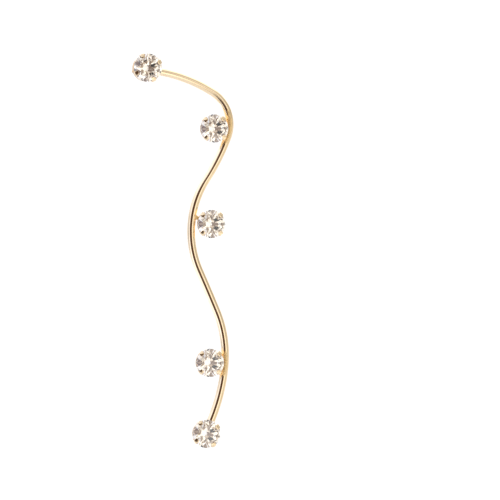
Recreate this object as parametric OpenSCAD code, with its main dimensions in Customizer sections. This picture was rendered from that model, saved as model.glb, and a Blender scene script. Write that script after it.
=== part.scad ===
// Dangle earring: a wavy wire that carries five claw-set round stones, hung from an ear post.
//
// The earring is drawn flat, as on a sheet: x to the right, y up, z towards the viewer, with the
// backs of the settings at z = 0. upright() then stands the sheet up, so that the stones face -Y,
// the ear post points along +Y and the wave hangs along -Z. The origin is the post's seat,
// in the middle of the top setting's back.

/* [Stones] */
// Diameter of each stone at its girdle, mm
stone_d = 5; // [4.8:0.05:5.2]
// Corner-to-corner width of the table, as a share of the diameter
table_share = 0.54; // [0.52:0.01:0.64]
// Height of the crown above the girdle, as a share of the diameter
crown_share = 0.145; // [0.13:0.005:0.17]
// Thickness of the girdle, as a share of the diameter
girdle_share = 0.03; // [0.02:0.005:0.04]
// Depth of the pavilion below the girdle, as a share of the diameter
pavilion_share = 0.405; // [0.4:0.005:0.44]

/* [Settings] */
// Depth of a setting, from its back to the middle of the girdle, mm
setting_depth = 2.75; // [2.7:0.05:3]
// Thickness of the cup's wall, mm
cup_wall = 0.3; // [0.25:0.05:0.35]
// Thickness of the cup's closed back, mm
cup_floor = 0.4; // [0.3:0.05:0.4]
// How much narrower the cup is at its back than at its rim, on the radius, mm
cup_taper = 0.45; // [0.3:0.05:0.5]
// The same for the top cup, which carries the post and has a wider back, mm
top_taper = 0.2; // [0.15:0.05:0.5]
// Width of a claw, mm
claw_w = 0.7; // [0.6:0.02:0.8]
// How far the claws' tips stand in over the edge of the crown, mm
claw_reach = 0.48; // [0.4:0.02:0.6]
// Gap between a stone and its setting, mm
stone_gap = 0.05; // [0.03:0.01:0.08]

/* [Wave] */
// Diameter of the round wire, mm
wire_d = 1.4; // [1.3:0.02:1.5]
// Height of the wire's middle line above the settings' backs, mm
wire_z = 1.5; // [1.4:0.05:1.6]
// Heading of the wire where it leaves the top setting, degrees up from +X
start_heading = -8.35; // [-12:0.05:-6]

/* [Ear post] */
// Diameter of the post
post_d = 0.8; // [0.7:0.05:0.9]
// Length of the post behind the top setting, with its round end
post_len = 10.4; // [9:0.2:12]
// Diameter of the solder foot round the post
foot_d = 1.8; // [1.4:0.1:2]
// Height of the solder foot
foot_h = 0.5; // [0.4:0.1:0.8]

/* [Hidden] */
$fn = 48;

gold = [0.93, 0.75, 0.46];
crystal = [0.86, 0.88, 0.9];

// Where the wire starts, inside the wall of the top cup
wire_start = [1.9, -0.56];
// The wire's bends from the top setting down: radius, then turn (left is +), in degrees
wire_bends = [
    [26.6, -23],
    [6.6, -79.6],
    [38.4, -12.35],
    [17, 57.45],
    [340, -1.3],
    [20.3, -29],
    [33.1, -17.7],
];

stone_r = stone_d / 2;
// Radius of the cups at the rim and at the back
cup_r = stone_r;
cup_back_r = cup_r - cup_taper;
top_back_r = cup_r - top_taper;

// Each setting: x, y, turn of its claws and stone, direction of its solder joint from its
// middle, radius of its cup at the back
settings = [
    [0, 0, 26, -14, top_back_r],
    [12.0, -10.6, 48, -12, cup_back_r],
    [11.45, -27.5, 45, 155, cup_back_r],
    [11.2, -52.05, 44, 2, cup_back_r],
    [10.6, -64.6, 32, 67, cup_back_r],
];

claws = 4;
girdle_half = girdle_share * stone_d / 2;
girdle_z = setting_depth;
wire_r = wire_d / 2;
// A collar at each change of bend, this much wider than the wire, joins one bend to the next
collar_step = 0.015;
collar_len = 0.3;
// The bends stop this far from the middle of the collar
bend_trim = 0.06;

// The stone's facets stand on eight main directions, with the halves between them
mains = 8;
main_step = 360 / mains;
table_r = table_share * stone_r;
table_z = girdle_half + crown_share * stone_d;
culet_z = -girdle_half - pavilion_share * stone_d;
crown_slope = (table_z - girdle_half) / (stone_r - table_r);
pavilion_slope = (-girdle_half - culet_z) / stone_r;
// Where the tips of the stars and of the lower halves stand, as shares of the radius
star_share = 0.84;
lower_half_share = 0.19;

// The cup's outline: rim below the girdle, and a rounded edge round its back
rim_drop = 0.25;
rim_z = girdle_z - rim_drop;
back_edge = 0.35;
back_corner = 0.1;

// The claws: foot on the wall of the cup, knee beside the girdle, tip over the crown
claw_foot_z = 0.7;
claw_foot_in = 0.42;
claw_knee_in = 0.04;
claw_knee_up = 0.12;
claw_tip_up = 0.1;
// Each joint of a claw is a ball, this much larger than the rod that ends in it
claw_step = 0.015;

solder_r = 0.4;
solder_reach = 1.1;
solder_z = 1.7;
solder_sunk = 0.1;

// The post's solder foot narrows to a hair more than the pin, and both are sunk in the cup's back
foot_step = 0.05;
// The post's round end is this much narrower than the pin
end_step = 0.01;
post_sunk = 0.2;

function polar(r, a) = [r * cos(a), r * sin(a)];
function sum_to(v, n) = n == 0 ? 0 : v[n - 1] + sum_to(v, n - 1);

// Heading of the wire at the start of bend i, and the point where bend i starts
turns = [for (b = wire_bends) b[1]];
function heading(i) = start_heading + sum_to(turns, i);
function bend_centre(p, i) =
    p + sign(wire_bends[i][1]) * polar(wire_bends[i][0], heading(i) + 90);
function bend_point(i) = i == 0 ? wire_start :
    let(c = bend_centre(bend_point(i - 1), i - 1))
    c - sign(wire_bends[i - 1][1]) * polar(wire_bends[i - 1][0], heading(i) + 90);

// Stands the flat drawing up
module upright() {
    rotate([90, 0, 0]) children();
}

// One bend of the wire, cut back by the trim where another bend follows it
module wire_bend(i) {
    radius = wire_bends[i][0];
    turn = wire_bends[i][1];
    last = len(wire_bends) - 1;
    trim_start = i == 0 ? 0 : bend_trim / radius * 180 / PI;
    trim_end = i == last ? 0 : bend_trim / radius * 180 / PI;
    // Direction from the bend's centre to the end that comes first anticlockwise
    first = turn > 0 ? heading(i) - 90 + trim_start : heading(i) + 90 + turn + trim_end;
    translate([each bend_centre(bend_point(i), i), wire_z])
        rotate(first)
            rotate_extrude(angle = abs(turn) - trim_start - trim_end)
                translate([radius, 0])
                    circle(wire_r);
}

module wave_wire() {
    for (i = [0 : len(wire_bends) - 1])
        wire_bend(i);
    for (i = [1 : len(wire_bends) - 1])
        translate([each bend_point(i), wire_z])
            rotate([0, 90, heading(i)])
                cylinder(h = collar_len, r = wire_r + collar_step, center = true);
}

// A rod of radius r from p to q, in the plane of the setting's radius and depth, with a ball on its end
module ball_rod(p, q, r, ball) {
    along = q - p;
    translate([p[0], 0, p[1]])
        rotate([0, atan2(along[0], along[1]), 0]) {
            cylinder(h = norm(along), r = r);
            translate([0, 0, norm(along)])
                sphere(ball);
        }
}

// A claw: a leg up the wall of the cup, and a tip bent in over the edge of the stone
module claw() {
    knee_r = claw_w / 2;
    leg_foot = [cup_r - claw_foot_in, claw_foot_z];
    knee = [cup_r - claw_knee_in, girdle_z + claw_knee_up];
    tip_x = cup_r - claw_reach;
    tip_z = girdle_z + girdle_half + (stone_r - tip_x) * crown_slope + claw_tip_up;
    ball_rod(leg_foot, knee, knee_r - claw_step, knee_r);
    ball_rod(knee, [tip_x, tip_z], knee_r - 2 * claw_step, knee_r - claw_step);
}

module cup(back_r) {
    rotate_extrude()
        polygon([
            [0, 0],
            [back_r - back_edge, 0],
            [back_r - back_corner, back_corner],
            [back_r, back_edge],
            [cup_r, rim_z],
            [0, rim_z],
        ]);
}

// The room that a stone needs in its setting, with the gap all round it
module stone_room(back_r) {
    inner_r = back_r - cup_wall;
    seat_r = cup_r - cup_wall;
    seat_z = girdle_z - girdle_half - (stone_r - seat_r) * pavilion_slope - stone_gap;
    top_z = girdle_z + table_z + stone_gap;
    // The corners of the crown's facets stand this much further out than its main edges
    corner = 1.09;
    clear_above = 1;
    rotate_extrude()
        polygon([
            [0, cup_floor],
            [inner_r, cup_floor],
            [seat_r, seat_z],
            [stone_r + stone_gap, girdle_z - girdle_half - stone_gap / 2],
            [stone_r + stone_gap, girdle_z + girdle_half + stone_gap / 2],
            [table_r * corner, top_z],
            [table_r * corner, top_z + clear_above],
            [0, top_z + clear_above],
        ]);
}

// A short bridge of solder from the wall of the cup to the wire
module solder_joint(direction) {
    rotate(direction)
        translate([cup_back_r - solder_sunk, 0, solder_z])
            rotate([0, 90, 0])
                cylinder(h = solder_reach, r = solder_r);
}

module setting(place) {
    translate([place[0], place[1], 0]) {
        rotate(place[2]) {
            cup(place[4]);
            for (i = [0 : claws - 1])
                rotate(i * 360 / claws)
                    claw();
        }
        solder_joint(place[3]);
    }
}

// The post is turned round the sheet's z axis and stands behind the top setting
module ear_post() {
    end_r = post_d / 2;
    rotate([180, 0, 0]) {
        translate([0, 0, -post_sunk])
            cylinder(h = post_len - end_r + post_sunk, r = end_r);
        translate([0, 0, post_len - end_r])
            sphere(end_r - end_step);
        translate([0, 0, -post_sunk])
            cylinder(h = foot_h + post_sunk, r1 = foot_d / 2, r2 = end_r + foot_step);
    }
}

// The soldered metal: wire, settings and post are one solid, with room for the stones
module wave_frame() {
    color(gold)
        upright()
            difference() {
                union() {
                    wave_wire();
                    ear_post();
                    for (place = settings)
                        setting(place);
                }
                for (place = settings)
                    translate([place[0], place[1], 0])
                        stone_room(place[4]);
            }
}

// A round brilliant: table, 8 stars, 8 kites, 16 upper halves, girdle, 16 lower halves, 8 mains
module brilliant() {
    star_r = star_share * stone_r;
    star_z = girdle_half + (stone_r - star_r * cos(main_step / 2)) * crown_slope;
    lower_r = lower_half_share * stone_r;
    lower_z = -girdle_half - (stone_r - lower_r * cos(main_step / 2)) * pavilion_slope;
    steps = [0 : mains - 1];
    points = [
        for (k = steps) [each polar(table_r, k * main_step), table_z],
        for (k = steps) [each polar(star_r, (k + 0.5) * main_step), star_z],
        for (k = steps, h = [0, 0.5]) [each polar(stone_r, (k + h) * main_step), girdle_half],
        for (k = steps, h = [0, 0.5]) [each polar(stone_r, (k + h) * main_step), -girdle_half],
        for (k = steps) [each polar(lower_r, (k + 0.5) * main_step), lower_z],
        [0, 0, culet_z],
    ];
    // Where each ring of points starts in the list
    star = mains;
    top = 2 * mains;
    bottom = 4 * mains;
    lower = 6 * mains;
    culet = 7 * mains;
    faces = [
        [for (k = steps) mains - 1 - k],
        for (k = steps) let(next = (k + 1) % mains, last = (k + mains - 1) % mains)
            each [
                [k, next, star + k],
                [k, star + k, top + 2 * k, star + last],
                [star + k, top + 2 * k + 1, top + 2 * k],
                [star + k, top + 2 * next, top + 2 * k + 1],
                [top + 2 * k, top + 2 * k + 1, bottom + 2 * k + 1, bottom + 2 * k],
                [top + 2 * k + 1, top + 2 * next, bottom + 2 * next, bottom + 2 * k + 1],
                [bottom + 2 * k, bottom + 2 * k + 1, lower + k],
                [bottom + 2 * k + 1, bottom + 2 * next, lower + k],
                [culet, lower + last, bottom + 2 * k, lower + k],
            ],
    ];
    polyhedron(points, faces, convexity = 2);
}

module stone_in(place) {
    color(crystal)
        upright()
            translate([place[0], place[1], girdle_z])
                rotate(place[2])
                    brilliant();
}

module stone_1() {
    stone_in(settings[0]);
}

module stone_2() {
    stone_in(settings[1]);
}

module stone_3() {
    stone_in(settings[2]);
}

module stone_4() {
    stone_in(settings[3]);
}

module stone_5() {
    stone_in(settings[4]);
}

wave_frame();
stone_1();
stone_2();
stone_3();
stone_4();
stone_5();
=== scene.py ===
import bpy
import math
from mathutils import Matrix, Vector


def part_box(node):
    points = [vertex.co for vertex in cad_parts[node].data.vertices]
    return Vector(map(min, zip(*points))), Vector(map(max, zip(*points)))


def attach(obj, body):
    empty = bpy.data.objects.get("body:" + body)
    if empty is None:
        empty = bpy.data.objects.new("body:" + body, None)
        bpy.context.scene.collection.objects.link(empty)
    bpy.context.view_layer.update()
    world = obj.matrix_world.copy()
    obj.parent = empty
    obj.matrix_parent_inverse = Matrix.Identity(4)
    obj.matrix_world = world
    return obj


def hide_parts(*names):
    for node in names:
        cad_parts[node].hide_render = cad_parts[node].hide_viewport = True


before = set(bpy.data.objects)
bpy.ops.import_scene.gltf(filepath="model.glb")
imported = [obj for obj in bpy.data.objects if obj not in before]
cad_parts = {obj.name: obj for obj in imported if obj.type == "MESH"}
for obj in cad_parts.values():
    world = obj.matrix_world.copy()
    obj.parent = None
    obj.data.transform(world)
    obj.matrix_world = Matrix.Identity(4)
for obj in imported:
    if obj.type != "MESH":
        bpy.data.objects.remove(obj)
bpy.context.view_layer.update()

mm = 0.001
root = "root"
fineGap = 1e-7  # the facets are fractions of a millimetre, so nothing coarser merges or cuts

# The earring is modelled lying flat: x to the right, y up, z towards the viewer, backs of the cups at z = 0.
# standUp() then turns each piece so that the stones face -Y and the post points along +Y.
standTurn = Matrix.Rotation(math.radians(90), 4, "X")


def polar(radius, degrees):
    return Vector((radius * math.cos(math.radians(degrees)), radius * math.sin(math.radians(degrees)), 0))


def nothingSelected():
    if bpy.context.object and bpy.context.object.mode != "OBJECT":
        bpy.ops.object.mode_set(mode="OBJECT")
    bpy.ops.object.select_all(action="DESELECT")


def pickUp(obj):
    nothingSelected()
    obj.select_set(True)
    bpy.context.view_layer.objects.active = obj


def editAll(obj):
    pickUp(obj)
    bpy.ops.object.mode_set(mode="EDIT")
    bpy.ops.mesh.select_all(action="SELECT")


def selectFaces(obj, wanted):
    bpy.ops.mesh.select_all(action="DESELECT")
    bpy.ops.object.mode_set(mode="OBJECT")
    for face in obj.data.polygons:
        face.select = wanted(face)
    bpy.ops.object.mode_set(mode="EDIT")
    bpy.ops.mesh.select_mode(type="FACE")


def selectEdges(obj, wanted):
    bpy.ops.mesh.select_mode(type="EDGE")
    bpy.ops.mesh.select_all(action="DESELECT")
    bpy.ops.object.mode_set(mode="OBJECT")
    points = obj.data.vertices
    for edge in obj.data.edges:
        edge.select = wanted(points[edge.vertices[0]].co, points[edge.vertices[1]].co)
    bpy.ops.object.mode_set(mode="EDIT")


def cleanSkin(obj):
    editAll(obj)
    bpy.ops.mesh.remove_doubles(threshold=fineGap)
    bpy.ops.mesh.normals_make_consistent(inside=False)
    bpy.ops.object.mode_set(mode="OBJECT")


def applyModifiers(obj):
    pickUp(obj)
    for modifier in list(obj.modifiers):
        bpy.ops.object.modifier_apply(modifier=modifier.name)


def smoothBy(obj, degrees):
    pickUp(obj)
    bpy.ops.object.shade_smooth_by_angle(angle=math.radians(degrees))


def bakePlace(obj):
    pickUp(obj)
    bpy.ops.object.transform_apply(location=True, rotation=True, scale=True)


def copyOf(obj, name):
    twin = obj.copy()
    twin.data = obj.data.copy()
    twin.name = name
    bpy.context.collection.objects.link(twin)
    return twin


def standUp(obj):
    obj.matrix_world = standTurn @ obj.matrix_world
    bakePlace(obj)


def fuse(name, parts):
    base = parts[0]
    base.name = name
    for part in parts[1:]:
        pickUp(base)
        union = base.modifiers.new("union", "BOOLEAN")
        union.operation = "UNION"
        union.solver = "EXACT"
        union.object = part
        bpy.ops.object.modifier_apply(modifier=union.name)
        bpy.data.objects.remove(part)
    return base


print("frame loaded")

# Stones: round brilliants, each one's middle taken from the frame. The table's width and the heights are
# shares of the diameter. The star and lower half shares tell how far out the tips of those facets lie

stone = {
    "diameter": 5 * mm,
    "girdleHeight": 2.75 * mm,
    "mains": 8,
    "tableShare": 0.6,
    "crownShare": 0.13,
    "girdleShare": 0.03,
    "pavilionShare": 0.43,
    "starShare": 0.84,
    "lowerHalfShare": 0.3,
    "girdleSides": 96,
}

stoneNodes = [f"stone_{number}" for number in range(1, 6)]
stoneRadius = stone["diameter"] / 2
girdleHalf = stone["girdleShare"] * stoneRadius


def stoneMiddle(node):
    low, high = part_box(node)
    return Vector(((low[0] + high[0]) / 2, (low[2] + high[2]) / 2, stone["girdleHeight"]))


def cutFacet(a, b, c):
    normal = (b - a).cross(c - a).normalized()
    if normal.dot(a) < 0:
        normal = -normal
    bpy.ops.mesh.select_all(action="SELECT")
    bpy.ops.mesh.bisect(plane_co=a, plane_no=normal, use_fill=True, clear_outer=True, threshold=fineGap)


def cutStone():
    step = 360 / stone["mains"]
    tableRadius = stone["tableShare"] * stoneRadius
    tableHeight = girdleHalf + stone["crownShare"] * stone["diameter"]
    culet = Vector((0, 0, -girdleHalf - stone["pavilionShare"] * stone["diameter"]))
    crownSlope = (tableHeight - girdleHalf) / (stoneRadius - tableRadius)
    pavilionSlope = (-girdleHalf - culet.z) / stoneRadius
    starRadius = stone["starShare"] * stoneRadius
    lowerRadius = stone["lowerHalfShare"] * stoneRadius
    halfCos = math.cos(math.radians(step / 2))
    up = Vector((0, 0, 1))
    starTipHeight = girdleHalf + (stoneRadius - starRadius * halfCos) * crownSlope
    lowerTipHeight = -girdleHalf - (stoneRadius - lowerRadius * halfCos) * pavilionSlope
    depth = tableHeight - culet.z
    bpy.ops.mesh.primitive_cylinder_add(
        vertices=stone["girdleSides"], radius=stoneRadius, depth=depth,
        location=(0, 0, tableHeight - depth / 2))
    blank = bpy.context.object
    blank.name = "cutStone"
    bakePlace(blank)
    editAll(blank)
    for k in range(stone["mains"]):
        main = k * step
        half = main + step / 2
        tableCorner = polar(tableRadius, main) + up * tableHeight
        nextCorner = polar(tableRadius, main + step) + up * tableHeight
        starTip = polar(starRadius, half) + up * starTipHeight
        lastTip = polar(starRadius, half - step) + up * starTipHeight
        lowTip = polar(lowerRadius, half) + up * lowerTipHeight
        lastLowTip = polar(lowerRadius, half - step) + up * lowerTipHeight
        cutFacet(tableCorner, starTip, lastTip)
        cutFacet(culet, lowTip, lastLowTip)
        cutFacet(tableCorner, nextCorner, starTip)
        for side in (main, main + step):
            rimCorner = polar(stoneRadius, side)
            rimHalf = polar(stoneRadius, half)
            cutFacet(rimCorner + up * girdleHalf, rimHalf + up * girdleHalf, starTip)
            cutFacet(rimCorner - up * girdleHalf, rimHalf - up * girdleHalf, lowTip)
    bpy.ops.object.mode_set(mode="OBJECT")
    cleanSkin(blank)
    return blank


# Settings: a round cup and four claws that come up its wall and bend in over the stone's edge

cup = {
    "rimRadius": 2.5 * mm,
    "backRadius": 2.05 * mm,
    "topBackRadius": 2.3 * mm,
    "wall": 0.3 * mm,
    "floor": 0.4 * mm,
    "rimHeight": 2.5 * mm,
    "seatShare": 0.5,  # of the wall that is left above the stone's seat
    "seatDepth": 0.22 * mm,
    "backEdge": 0.34 * mm,
    "backSteps": 5,
    "rimEdge": 0.05 * mm,
    "rimSteps": 3,
    "edgeBand": 0.02 * mm,  # how near to the back or the rim an edge counts as part of it
    "sides": 96,
}

claw = {
    "count": 4,
    "width": 0.86 * mm,
    "thickness": 0.155 * mm,
    "footHeight": 0.6 * mm,
    "footOut": 2.2 * mm,
    "legShares": (0.1, 0.6, 0.3),
    "clear": 0.03 * mm,
    "crownAngle": 32.2,
    "kneeSteps": 5,
    "flat": 0.1 * mm,
    "tipBend": 24,
    "tipRadius": 1.3 * mm,
    "tipSteps": 3,
    "endLength": 0.08 * mm,
    "endWidth": 0.72,
    "rounding": 3,
}

# Turn of each setting's claws, and where its solder neck leaves it, in degrees
settingTurns = [26, 48, 45, 44, 32]
solderDirections = [-14, -12, 155, 2, 67]


def makeCup(backRadius):
    bpy.ops.mesh.primitive_cylinder_add(
        vertices=cup["sides"], radius=backRadius, depth=cup["rimHeight"],
        location=(0, 0, cup["rimHeight"] / 2))
    body = bpy.context.object
    body.name = "cup"
    bakePlace(body)
    editAll(body)
    selectFaces(body, lambda face: face.normal.z > 0.9)
    flare = cup["rimRadius"] / backRadius
    bpy.ops.transform.resize(value=(flare, flare, 1), center_override=(0, 0, 0))
    # the seat slopes in under the rim, and the hollow goes on down to the floor
    seatWall = cup["wall"] * cup["seatShare"]
    bpy.ops.mesh.inset(thickness=seatWall)
    bpy.ops.mesh.extrude_region_move(TRANSFORM_OT_translate={"value": (0, 0, -cup["seatDepth"])})
    tighten = (cup["rimRadius"] - cup["wall"]) / (cup["rimRadius"] - seatWall)
    bpy.ops.transform.resize(value=(tighten, tighten, 1), center_override=(0, 0, 0))
    drop = cup["rimHeight"] - cup["floor"] - cup["seatDepth"]
    bpy.ops.mesh.extrude_region_move(TRANSFORM_OT_translate={"value": (0, 0, -drop)})
    narrow = (backRadius - cup["wall"]) / (cup["rimRadius"] - cup["wall"])
    bpy.ops.transform.resize(value=(narrow, narrow, 1), center_override=(0, 0, 0))
    nearBack = cup["edgeBand"]
    selectEdges(body, lambda a, b: a.z < nearBack and b.z < nearBack)
    bpy.ops.mesh.bevel(offset=cup["backEdge"], segments=cup["backSteps"])
    nearRim = cup["rimHeight"] - cup["edgeBand"]
    selectEdges(body, lambda a, b: a.z > nearRim and b.z > nearRim)
    bpy.ops.mesh.bevel(offset=cup["rimEdge"], segments=cup["rimSteps"])
    bpy.ops.object.mode_set(mode="OBJECT")
    return body


def makeClaw():
    halfThick = claw["thickness"] / 2
    kneeMiddle = Vector((stoneRadius, 0, stone["girdleHeight"] + girdleHalf))
    legTop = Vector((stoneRadius + claw["clear"] + halfThick, 0, kneeMiddle.z))
    foot = Vector((claw["footOut"] - halfThick, 0, claw["footHeight"]))
    bpy.ops.mesh.primitive_plane_add(size=1, location=foot)
    finger = bpy.context.object
    finger.name = "claw"
    finger.scale = (claw["thickness"], claw["width"], 1)
    bakePlace(finger)
    editAll(finger)
    rise = legTop - foot
    for share in claw["legShares"]:  # up the wall of the cup
        bpy.ops.mesh.extrude_region_move(TRANSFORM_OT_translate={"value": rise * share})
    # the bend over the girdle, down to the slope of the crown
    bpy.ops.mesh.spin(
        steps=claw["kneeSteps"], angle=math.radians(90 - claw["crownAngle"]), center=kneeMiddle,
        axis=(0, 1, 0))
    slope = math.radians(claw["crownAngle"])
    inward = Vector((-math.cos(slope), 0, math.sin(slope)))
    bpy.ops.mesh.extrude_region_move(TRANSFORM_OT_translate={"value": inward * claw["flat"]})
    # the tip bends down a little way into the crown, as if pressed on, and narrows
    outward = Vector((inward.z, 0, -inward.x))
    tipStart = kneeMiddle + inward * claw["flat"] + outward * (claw["clear"] + halfThick)
    bpy.ops.mesh.spin(
        steps=claw["tipSteps"], angle=math.radians(claw["tipBend"]),
        center=tipStart - outward * claw["tipRadius"], axis=(0, 1, 0))
    slope = math.radians(claw["crownAngle"] - claw["tipBend"])
    inward = Vector((-math.cos(slope), 0, math.sin(slope)))
    bpy.ops.mesh.extrude_region_move(TRANSFORM_OT_translate={"value": inward * claw["endLength"]})
    bpy.ops.transform.resize(value=(1, claw["endWidth"], 1), center_override=(0, 0, 0))
    bpy.ops.object.mode_set(mode="OBJECT")
    editAll(finger)
    bpy.ops.mesh.select_all(action="DESELECT")
    bpy.ops.mesh.select_non_manifold()
    bpy.ops.mesh.fill_holes(sides=0)
    bpy.ops.object.mode_set(mode="OBJECT")
    cleanSkin(finger)
    rounded = finger.modifiers.new("rounded", "SUBSURF")
    rounded.levels = claw["rounding"]
    rounded.render_levels = claw["rounding"]
    applyModifiers(finger)
    return finger


def makeSetting(name, backRadius):
    body = makeCup(backRadius)
    finger = makeClaw()
    parts = [body]
    for k in range(claw["count"]):
        one = copyOf(finger, f"claw{k + 1}")
        one.rotation_euler = (0, 0, math.radians(360 / claw["count"] * k))
        bakePlace(one)
        parts.append(one)
    bpy.data.objects.remove(finger)
    return fuse(name, parts)


# Wave wire: one round wire. Its bends go from the top setting down, with a radius in mm and a turn in
# degrees, to the left where it is positive

wire = {
    "diameter": 1.4 * mm,
    "height": 1.5 * mm,
    "sides": 40,
    "start": (1.9 * mm, -0.56 * mm),
    "startHeading": -8.35,
    "bends": [
        (26.6, -23), (6.6, -79.6), (38.4, -12.35), (17, 57.45), (340, -1.3), (20.3, -29), (33.1, -17.7)],
    "stepLength": 0.35 * mm,
}


def makeWire():
    place = Vector((wire["start"][0], wire["start"][1], wire["height"]))
    heading = wire["startHeading"]
    facing = polar(1, heading).to_track_quat("Z", "Y").to_euler()
    bpy.ops.mesh.primitive_circle_add(
        vertices=wire["sides"], radius=wire["diameter"] / 2, fill_type="NOTHING",
        location=place, rotation=facing)
    tube = bpy.context.object
    tube.name = "waveWire"
    bakePlace(tube)
    editAll(tube)
    for radius, turn in wire["bends"]:
        side = math.copysign(1, turn)
        middle = place + polar(radius * mm, heading + 90 * side)
        steps = max(2, round(radius * mm * math.radians(abs(turn)) / wire["stepLength"]))
        bpy.ops.mesh.spin(steps=steps, angle=math.radians(-turn), center=middle, axis=(0, 0, 1))
        heading += turn
        place = middle - polar(radius * mm, heading + 90 * side)
    bpy.ops.mesh.select_all(action="DESELECT")
    bpy.ops.mesh.select_non_manifold()
    bpy.ops.mesh.fill_holes(sides=0)
    bpy.ops.object.mode_set(mode="OBJECT")
    cleanSkin(tube)
    return tube


# Ear post and its solder foot, behind the top setting

post = {
    "diameter": 0.8 * mm,
    "length": 10.39 * mm,
    "footDiameter": 1.8 * mm,
    "footHeight": 0.5 * mm,
    # how the foot draws in: a drop in mm, then the share of the foot's width that is left
    "footCurve": [(0.04, 0.86), (0.06, 0.7), (0.1, 0.57), (0.14, 0.49), (0.16, 0.4444)],
    "straightShares": (0.04, 0.92, 0.04),
    "endAngles": (15, 30, 45, 60, 75, 86),
    "sunk": 0.2 * mm,
    "sides": 40,
}


def makePost():
    radius = post["diameter"] / 2
    bpy.ops.mesh.primitive_cylinder_add(
        vertices=post["sides"], radius=post["footDiameter"] / 2, depth=post["sunk"],
        location=(0, 0, post["sunk"] / 2))
    pin = bpy.context.object
    pin.name = "earPost"
    bakePlace(pin)
    editAll(pin)
    selectFaces(pin, lambda face: face.normal.z < -0.9)
    # the foot draws in to the pin in a hollow curve
    width = post["footDiameter"] / 2
    for drop, share in post["footCurve"]:
        bpy.ops.mesh.extrude_region_move(TRANSFORM_OT_translate={"value": (0, 0, -drop * mm)})
        target = post["footDiameter"] / 2 * share
        bpy.ops.transform.resize(value=(target / width, target / width, 1), center_override=(0, 0, 0))
        width = target
    straight = post["length"] - post["footHeight"] - radius
    for share in post["straightShares"]:
        bpy.ops.mesh.extrude_region_move(TRANSFORM_OT_translate={"value": (0, 0, -straight * share)})
    lastAngle = 0
    for angle in post["endAngles"]:  # the round end
        step = (math.sin(math.radians(angle)) - math.sin(math.radians(lastAngle))) * radius
        bpy.ops.mesh.extrude_region_move(TRANSFORM_OT_translate={"value": (0, 0, -step)})
        target = radius * math.cos(math.radians(angle))
        bpy.ops.transform.resize(value=(target / width, target / width, 1), center_override=(0, 0, 0))
        width = target
        lastAngle = angle
    bpy.ops.object.mode_set(mode="OBJECT")
    cleanSkin(pin)
    return pin


# Solder necks between the wire and the cups, waisted like a drawn-out drop

solder = {
    "radius": 0.42 * mm,
    "height": 1.7 * mm,
    "from": 1.95 * mm,
    "to": 3.1 * mm,
    "sides": 32,
    "cuts": 7,
    "waist": 0.84,
}


def makeSolder():
    length = solder["to"] - solder["from"]
    bpy.ops.mesh.primitive_cylinder_add(
        vertices=solder["sides"], radius=solder["radius"], depth=length,
        location=(solder["from"] + length / 2, 0, solder["height"]), rotation=(0, math.pi / 2, 0))
    neck = bpy.context.object
    neck.name = "solderNeck"
    bakePlace(neck)
    editAll(neck)
    selectEdges(neck, lambda a, b: abs(a.x - b.x) > length / 2)
    bpy.ops.mesh.subdivide(number_cuts=solder["cuts"])
    bpy.ops.object.mode_set(mode="OBJECT")
    for point in neck.data.vertices:
        share = (point.co.x - solder["from"]) / length
        pinch = 1 - (1 - solder["waist"]) * math.sin(math.pi * share)
        point.co.y *= pinch
        point.co.z = solder["height"] + (point.co.z - solder["height"]) * pinch
    cleanSkin(neck)
    return neck


# Solder seams, where the wire runs along the wall of a cup: the way each lies from the stone's middle, in
# degrees, how the wire bends above and below it, and how far it runs each way. 0 is the top stone

seam = {
    "radius": 0.37 * mm,
    "out": 2.9 * mm,
    "height": 2 * mm,
    "sides": 36,
    "rings": 28,
    "ripple": 0.07,
    "rippleLengths": (0.21 * mm, 0.83 * mm),
    "places": {
        1: {"direction": -14, "bendAbove": 6.6 * mm, "bendBelow": 11 * mm,
            "above": 4.6 * mm, "below": 2.8 * mm},
        3: {"direction": -5, "bendAbove": 20.3 * mm, "bendBelow": 31 * mm,
            "above": 2.7 * mm, "below": 2.7 * mm},
    },
}


def makeSeam(run):
    bpy.ops.mesh.primitive_uv_sphere_add(
        segments=seam["sides"], ring_count=seam["rings"], radius=seam["radius"],
        rotation=(math.pi / 2, 0, 0))
    bead = bpy.context.object
    bead.name = "solderSeam"
    bakePlace(bead)
    editAll(bead)
    halfLength = (run["above"] + run["below"]) / 2
    bpy.ops.transform.resize(value=(1, halfLength / seam["radius"], 1), center_override=(0, 0, 0))
    bpy.ops.transform.translate(value=(0, halfLength - run["below"], 0))
    bpy.ops.object.mode_set(mode="OBJECT")
    short, long = seam["rippleLengths"]
    for point in bead.data.vertices:
        along = point.co.y
        bend = run["bendAbove"] if along > 0 else run["bendBelow"]
        ripple = 1 + seam["ripple"] * math.sin(along / short) * math.cos(along / long)
        point.co.x = seam["out"] + point.co.x * ripple - bend + math.sqrt(bend * bend - along * along)
        point.co.z = seam["height"] + point.co.z * ripple
    cleanSkin(bead)
    return bead


# Materials

def newMaterial(name):
    material = bpy.data.materials.new(name)
    material.use_nodes = True
    return material, material.node_tree.nodes, material.node_tree.links


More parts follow.
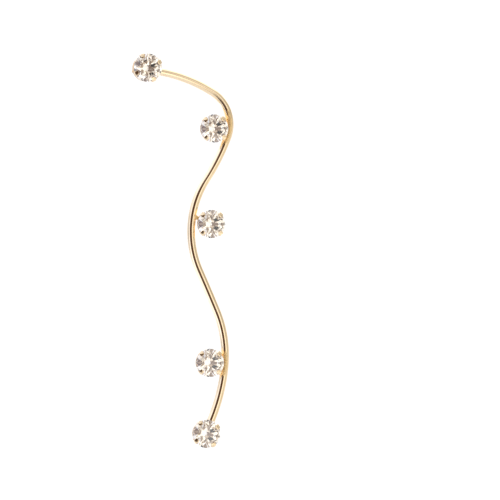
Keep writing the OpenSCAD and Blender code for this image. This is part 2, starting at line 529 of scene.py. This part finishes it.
def goldMetal():
    look = {
        "colour": (0.98, 0.77, 0.5, 1),
        "warmColour": (0.95, 0.73, 0.45, 1),
        "colourStops": (0.35, 0.6),
        "roughness": (0.07, 0.16),
        "patchScale": 900,
        "patchDetail": 3,
        "grainScale": 9000,
        "grainDetail": 2,
        "bump": 0.02,
        "bumpDistance": 0.02 * mm,
    }
    material, nodes, links = newMaterial("goldMetal")
    shader = nodes["Principled BSDF"]
    shader.inputs["Metallic"].default_value = 1
    place = nodes.new("ShaderNodeTexCoord")
    patches = nodes.new("ShaderNodeTexNoise")
    patches.inputs["Scale"].default_value = look["patchScale"]
    patches.inputs["Detail"].default_value = look["patchDetail"]
    links.new(place.outputs["Object"], patches.inputs["Vector"])
    colours = nodes.new("ShaderNodeValToRGB")
    colours.color_ramp.elements[0].position = look["colourStops"][0]
    colours.color_ramp.elements[0].color = look["warmColour"]
    colours.color_ramp.elements[1].position = look["colourStops"][1]
    colours.color_ramp.elements[1].color = look["colour"]
    links.new(patches.outputs["Fac"], colours.inputs["Fac"])
    links.new(colours.outputs["Color"], shader.inputs["Base Color"])
    polish = nodes.new("ShaderNodeMapRange")
    polish.inputs["To Min"].default_value = look["roughness"][0]
    polish.inputs["To Max"].default_value = look["roughness"][1]
    links.new(patches.outputs["Fac"], polish.inputs["Value"])
    links.new(polish.outputs["Result"], shader.inputs["Roughness"])
    grain = nodes.new("ShaderNodeTexNoise")
    grain.inputs["Scale"].default_value = look["grainScale"]
    grain.inputs["Detail"].default_value = look["grainDetail"]
    links.new(place.outputs["Object"], grain.inputs["Vector"])
    bump = nodes.new("ShaderNodeBump")
    bump.inputs["Strength"].default_value = look["bump"]
    bump.inputs["Distance"].default_value = look["bumpDistance"]
    links.new(grain.outputs["Fac"], bump.inputs["Height"])
    links.new(bump.outputs["Normal"], shader.inputs["Normal"])
    return material


def solderGold():
    look = {
        "colour": (0.96, 0.67, 0.31, 1),
        "metallic": 0.5,
        "roughness": (0.42, 0.6),
        "grainScale": 1600,
    }
    material, nodes, links = newMaterial("solderGold")
    shader = nodes["Principled BSDF"]
    shader.inputs["Base Color"].default_value = look["colour"]
    shader.inputs["Metallic"].default_value = look["metallic"]
    place = nodes.new("ShaderNodeTexCoord")
    grain = nodes.new("ShaderNodeTexNoise")
    grain.inputs["Scale"].default_value = look["grainScale"]
    links.new(place.outputs["Object"], grain.inputs["Vector"])
    dulled = nodes.new("ShaderNodeMapRange")
    dulled.inputs["To Min"].default_value = look["roughness"][0]
    dulled.inputs["To Max"].default_value = look["roughness"][1]
    links.new(grain.outputs["Fac"], dulled.inputs["Value"])
    links.new(dulled.outputs["Result"], shader.inputs["Roughness"])
    return material


def clearStone():
    look = {
        "colour": (1, 0.935, 0.82, 1),
        "refraction": 2.15,
        "roughness": (0, 0.02),
        "speckScale": 700,
        "speckStart": 0.6,
    }
    material, nodes, links = newMaterial("clearStone")
    shader = nodes["Principled BSDF"]
    shader.inputs["Base Color"].default_value = look["colour"]
    shader.inputs["Transmission Weight"].default_value = 1
    shader.inputs["IOR"].default_value = look["refraction"]
    place = nodes.new("ShaderNodeTexCoord")
    specks = nodes.new("ShaderNodeTexNoise")
    specks.inputs["Scale"].default_value = look["speckScale"]
    links.new(place.outputs["Object"], specks.inputs["Vector"])
    polish = nodes.new("ShaderNodeMapRange")
    polish.inputs["From Min"].default_value = look["speckStart"]
    polish.inputs["To Min"].default_value = look["roughness"][0]
    polish.inputs["To Max"].default_value = look["roughness"][1]
    links.new(specks.outputs["Fac"], polish.inputs["Value"])
    links.new(polish.outputs["Result"], shader.inputs["Roughness"])
    return material


def wear(obj, material):
    obj.data.materials.clear()
    obj.data.materials.append(material)


# Making the pieces

gold = goldMetal()
dullGold = solderGold()
crystal = clearStone()

blank = cutStone()
setting = makeSetting("setting", cup["backRadius"])
topSetting = makeSetting("topSetting", cup["topBackRadius"])
neck = makeSolder()
print("stone, setting and solder modelled")

metalParts = [makeWire()]
solderParts = []
for number, node in enumerate(stoneNodes):
    middle = stoneMiddle(node)
    turn = math.radians(settingTurns[number])
    gem = copyOf(blank, f"brilliant{number + 1}")
    gem.rotation_euler = (0, 0, turn)
    gem.location = middle
    bakePlace(gem)
    standUp(gem)
    wear(gem, crystal)
    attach(gem, root)
    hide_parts(node)
    holder = copyOf(setting if number else topSetting, f"setting{number + 1}")
    holder.rotation_euler = (0, 0, turn)
    holder.location = (middle.x, middle.y, 0)
    bakePlace(holder)
    metalParts.append(holder)
    bridge = copyOf(neck, f"solder{number + 1}")
    bridge.rotation_euler = (0, 0, math.radians(solderDirections[number]))
    bridge.location = (middle.x, middle.y, 0)
    bakePlace(bridge)
    solderParts.append(bridge)
    if number in seam["places"]:
        run = seam["places"][number]
        bead = makeSeam(run)
        bead.name = f"seam{number + 1}"
        bead.rotation_euler = (0, 0, math.radians(run["direction"]))
        bead.location = (middle.x, middle.y, 0)
        bakePlace(bead)
        solderParts.append(bead)
metalParts.append(makePost())
for spare in (blank, setting, topSetting, neck):
    bpy.data.objects.remove(spare)
print("pieces placed")

smoothAngle = 32
for part in metalParts + solderParts:
    standUp(part)
    smoothBy(part, smoothAngle)
    wear(part, dullGold if part in solderParts else gold)
    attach(part, root)
    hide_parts("wave_frame")
print("metal finished")


# Studio: a white tent with a dark slot for the camera, which draws the line down the wire

studio = {
    "cameraAzimuth": -13,
    "cameraPlace": (-117.46 * mm, -591.42 * mm, -32.1 * mm),
    "lens": 245.4,
    "sensor": 36,
    "clip": (0.01, 20),
    "floorHeight": -0.45,
    "floorSize": 0.9,
    "background": 1.1,
    "strength": 2,
    "slot": (0.1, 0.06, 0.045),  # the least light that comes from any side
    "coolSide": (0.93, 1, 1.22),  # left of the camera
    "warmBack": (0.9, 0.76, 0.64),  # behind, past backDegrees, in the bands within backHeight of level
    "backDegrees": 140,
    "backHeight": 0.2,
    # More light for the rays that leave a stone, against degrees round from the camera
    "stoneTint": (1, 0.86, 0.7),
    "stoneFill": [
        (-180, 0.14), (-60, 0.14), (-46, 0.2), (-36, 0.55), (-22, 0.6), (-13, 0.3), (-9, 0.02),
        (-5, 0.02), (-1, 0.42), (3, 0.04), (8, 0.15), (14, 0.58), (24, 0.58), (32, 0.12), (180, 0.12)],
    # Bands of the tent from the floor to the roof: height of each (1 is straight up), then
    # its brightness against degrees round from the camera
    "bands": [
        (-0.85, [
            (-180, 1.4), (-90, 1.1), (-60, 0.68), (40, 0.68), (90, 1.1), (180, 1.4)]),
        (-0.7, [
            (-180, 1.6), (-110, 1.6), (-80, 1.1), (-55, 0.75), (-20, 0.75), (10, 0.8), (50, 0.85),
            (90, 1.4), (180, 1.6)]),
        (-0.6, [
            (-180, 1.4), (-150, 1.5), (-105, 1.7), (-75, 1.5), (-50, 1.3), (-36, 0.7), (-28, 0.15),
            (-10, 0.15), (4, 0.9), (20, 1.3), (60, 1.2), (100, 1.4), (150, 1.8), (180, 1.6)]),
        (-0.3, [
            (-180, 1.3), (-150, 1.5), (-125, 1.7), (-108, 1.0), (-86, 0.8), (-72, 1.5), (-62, 1.7),
            (-46, 1.5), (-40, 0.9), (-36, 0), (4, 0), (11, 0.8), (20, 1.8), (32, 1.4), (46, 0.85),
            (75, 0.8), (95, 0.75), (120, 0.9), (150, 1.2), (180, 1.3)]),
        (-0.1, [
            (-180, 0.7), (-150, 0.85), (-130, 1.3), (-112, 1.0), (-94, 0.5), (-78, 0.5), (-64, 1.4),
            (-46, 1.4), (-41, 0.9), (-37, 0), (17, 0), (21.5, 1.4), (26, 1.8), (38, 1.3), (58, 0.9),
            (75, 0.6), (90, 0.85), (110, 0.9), (130, 1.0), (150, 1.3), (165, 1.0), (180, 0.7)]),
        (0.12, [
            (-180, 1.0), (-150, 1.0), (-125, 1.1), (-105, 0.8), (-90, 0.6), (-76, 0.75), (-62, 1.35),
            (-46, 1.1), (-40, 0.7), (-36, 0), (24, 0), (31, 0.8), (38, 1.4), (46, 1.4), (60, 0.4),
            (75, 0.6), (90, 0.65), (110, 0.7), (125, 0.75), (140, 1.2), (155, 1.3), (170, 0.9),
            (180, 1.0)]),
        (0.34, [
            (-180, 1.5), (-150, 1.4), (-125, 1.3), (-105, 1.1), (-75, 1.1), (-58, 1.5), (-42, 1.0),
            (-36, 0), (18, 0), (27, 0.8), (36, 1.3), (46, 0.8), (60, 0.35), (75, 0.75), (95, 0.4),
            (110, 0.4), (125, 0.9), (140, 1.5), (160, 1.5), (180, 1.5)]),
        (0.6, [
            (-180, 1.7), (-30, 1.3), (0, 1.1), (25, 0.6), (50, 0.6), (62, 0.8), (95, 0.6), (110, 0.7),
            (125, 1.2), (150, 1.6), (180, 1.7)]),
        (0.8, [
            (-180, 1.8), (-60, 1.3), (-20, 0.75), (75, 0.72), (100, 1.4), (130, 1.8), (180, 1.8)]),
        (0.93, [
            (-180, 1.7), (-90, 1.3), (90, 1.4), (180, 1.7)]),
    ],
}


def makeWorld():
    world = bpy.data.worlds.new("studio")
    bpy.context.scene.world = world
    world.use_nodes = True
    nodes, links = world.node_tree.nodes, world.node_tree.links
    nodes.clear()

    def sums(operation, *values):
        node = nodes.new("ShaderNodeMath")
        node.operation = operation
        for socket, value in enumerate(values):
            if isinstance(value, (int, float)):
                node.inputs[socket].default_value = value
            else:
                links.new(value, node.inputs[socket])
        return node.outputs[0]

    def tentTint(degrees, height):
        if abs(degrees) > studio["backDegrees"] and abs(height) < studio["backHeight"]:
            return studio["warmBack"]
        return studio["coolSide"] if degrees < 0 else (1, 1, 1)

    def brightness(share, stops, tints):
        ramp = nodes.new("ShaderNodeValToRGB")
        ends = ramp.color_ramp.elements
        while len(ends) < len(stops):
            ends.new(0.5)
        for end, (degrees, value), tint in zip(ends, stops, tints):
            end.position = (degrees + 180) / 360
            light = [max(value * tint[k], studio["slot"][k]) for k in range(3)]
            end.color = [shade / studio["strength"] for shade in light] + [1]
        links.new(share, ramp.inputs["Fac"])
        return ramp.outputs["Color"]

    def rising(value, low, high):
        step = nodes.new("ShaderNodeMapRange")
        step.interpolation_type = "SMOOTHSTEP"
        links.new(value, step.inputs["Value"])
        step.inputs["From Min"].default_value = low
        step.inputs["From Max"].default_value = high
        return step.outputs["Result"]

    place = nodes.new("ShaderNodeTexCoord")
    split = nodes.new("ShaderNodeSeparateXYZ")
    links.new(place.outputs["Generated"], split.inputs[0])
    around = sums("ARCTAN2", split.outputs["X"], sums("MULTIPLY", split.outputs["Y"], -1))
    turned = sums("SUBTRACT", around, math.radians(studio["cameraAzimuth"]))
    fromCamera = sums("WRAP", turned, math.pi, -math.pi)
    share = sums("DIVIDE", sums("ADD", fromCamera, math.pi), 2 * math.pi)
    rings = []
    for height, stops in studio["bands"]:
        tints = [tentTint(degrees, height) for degrees, value in stops]
        rings.append((height, brightness(share, stops, tints)))
    lastHeight, tent = rings[0]
    for height, band in rings[1:]:
        mix = nodes.new("ShaderNodeMixRGB")
        links.new(rising(split.outputs["Z"], lastHeight, height), mix.inputs["Fac"])
        links.new(tent, mix.inputs["Color1"])
        links.new(band, mix.inputs["Color2"])
        tent = mix.outputs["Color"]
        lastHeight = height
    # rays that leave a stone get the fill too, and the camera sees plain white
    path = nodes.new("ShaderNodeLightPath")
    soft = nodes.new("ShaderNodeMixRGB")
    soft.blend_type = "ADD"
    fill = brightness(share, studio["stoneFill"], [studio["stoneTint"]] * len(studio["stoneFill"]))
    links.new(fill, soft.inputs["Color2"])
    links.new(path.outputs["Is Transmission Ray"], soft.inputs["Fac"])
    links.new(tent, soft.inputs["Color1"])
    room = nodes.new("ShaderNodeBackground")
    room.inputs["Strength"].default_value = studio["strength"]
    links.new(soft.outputs["Color"], room.inputs["Color"])
    plain = nodes.new("ShaderNodeBackground")
    plain.inputs["Color"].default_value = (1, 1, 1, 1)
    plain.inputs["Strength"].default_value = studio["background"]
    seen = nodes.new("ShaderNodeMixShader")
    links.new(path.outputs["Is Camera Ray"], seen.inputs[0])
    links.new(room.outputs[0], seen.inputs[1])
    links.new(plain.outputs[0], seen.inputs[2])
    out = nodes.new("ShaderNodeOutputWorld")
    links.new(seen.outputs[0], out.inputs["Surface"])


def makeFloor():
    look = {"colour": (0.8, 0.8, 0.8, 1), "roughness": 0.9, "shine": 0.1}
    bpy.ops.mesh.primitive_plane_add(size=studio["floorSize"], location=(0, 0, studio["floorHeight"]))
    floor = bpy.context.object
    floor.name = "floor"
    material, nodes, links = newMaterial("paleFloor")
    shader = nodes["Principled BSDF"]
    shader.inputs["Base Color"].default_value = look["colour"]
    shader.inputs["Roughness"].default_value = look["roughness"]
    shader.inputs["Specular IOR Level"].default_value = look["shine"]
    floor.data.materials.append(material)


def makeCamera():
    camera = bpy.data.objects.new("camera", bpy.data.cameras.new("camera"))
    bpy.context.collection.objects.link(camera)
    camera.location = studio["cameraPlace"]
    azimuth = math.radians(studio["cameraAzimuth"])
    ahead = Vector((-math.sin(azimuth), math.cos(azimuth), 0))
    camera.rotation_euler = ahead.to_track_quat("-Z", "Y").to_euler()
    camera.data.lens = studio["lens"]
    camera.data.sensor_width = studio["sensor"]
    camera.data.clip_start, camera.data.clip_end = studio["clip"]
    bpy.context.scene.camera = camera


nothingSelected()
makeWorld()
makeFloor()
makeCamera()
bpy.context.scene.view_settings.view_transform = "Standard"
print("studio ready")
